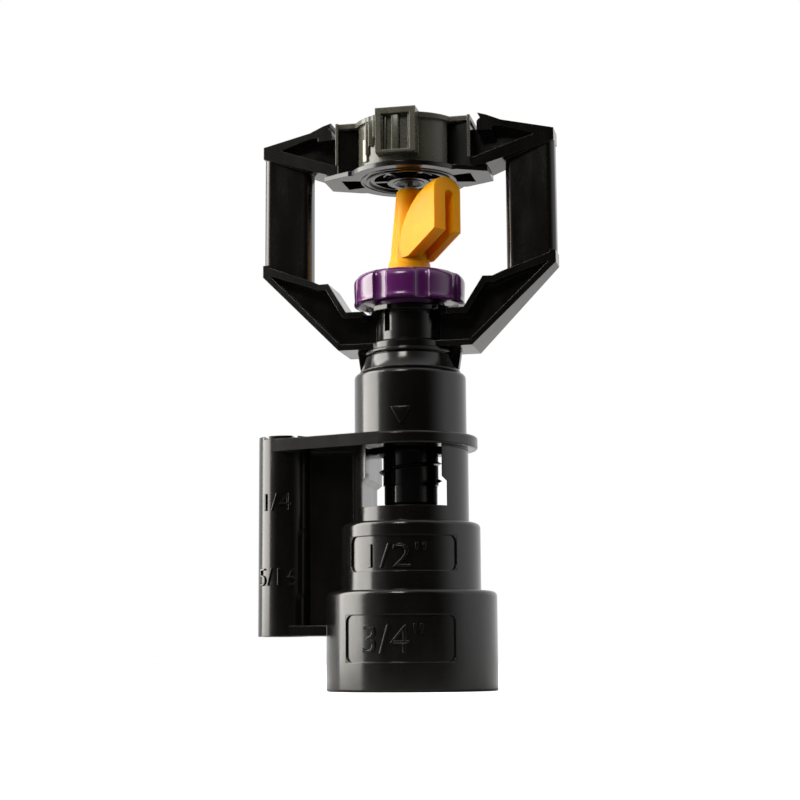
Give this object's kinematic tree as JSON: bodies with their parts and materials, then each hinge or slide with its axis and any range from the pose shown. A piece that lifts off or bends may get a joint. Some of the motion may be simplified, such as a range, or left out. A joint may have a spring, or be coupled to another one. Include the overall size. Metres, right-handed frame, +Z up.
{
  "type": "bridge-type rotating mini sprinkler head",
  "caption": "Mini sprinkler head: bridge frame, bayonet nozzle and braked spinner plate that lifts under the jet, screwed into a stepped pipe, tube and rod adapter.",
  "frame": {"origin": "centre of the 3/4 in pipe socket's mouth, at the bottom of the adapter", "axes": "+Z up the barrel; -Y is the lettered front; the rod arm points along -X"},
  "size_m": [0.055, 0.0302, 0.103],
  "materials": {
    "black_plastic": "satin glass-filled black, fine moulded grain",
    "gloss_black": "glossy black acetal",
    "purple_plastic": "glossy purple",
    "orange_plastic": "warm orange, slightly translucent",
    "grey_plastic": "satin warm grey",
    "stainless": "fine ground stainless",
    "bearing_plastic": "natural low-friction plastic",
    "seal_rubber": "black rubber"
  },
  "bodies": {
    "head": {"pipe_adapter": "black_plastic", "bridge_frame": "black_plastic", "feed_barb": "gloss_black", "barb_seal": "seal_rubber", "brake_housing": "gloss_black", "shaft_seal": "seal_rubber", "lower_bearing": "bearing_plastic", "lower_thrust_washer": "bearing_plastic", "upper_bearing": "bearing_plastic", "housing_lid": "gloss_black", "lid_seal": "seal_rubber"},
    "cap": {"cap": "grey_plastic"},
    "nozzle": {"nozzle": "purple_plastic", "nozzle_seal": "seal_rubber"},
    "rotor": {"brake_rotor": "bearing_plastic", "upper_thrust_washer": "bearing_plastic"},
    "plate": {"spinner_plate": "orange_plastic", "rotor_shaft": "stainless", "drive_pin": "stainless", "plate_thrust_washer": "bearing_plastic"}
  },
  "joints": [
    {"name": "rotor_spin", "type": "hinge", "parent": "head", "child": "rotor", "pos_m": [0, 0, 0.096], "axis": [0, 0, 1], "continuous": true},
    {"name": "plate_lift", "type": "slide", "parent": "rotor", "child": "plate", "axis": [0, 0, 1], "range_m": [0, 0.0011]},
    {"name": "nozzle_twist", "type": "hinge", "parent": "head", "child": "nozzle", "pos_m": [0, 0, 0.071], "axis": [0, 0, 1], "range_deg": [0, 45]},
    {"name": "cap_release", "type": "slide", "parent": "head", "child": "cap", "axis": [0, 0, 1], "range_m": [0, 0.009]}
  ]
}
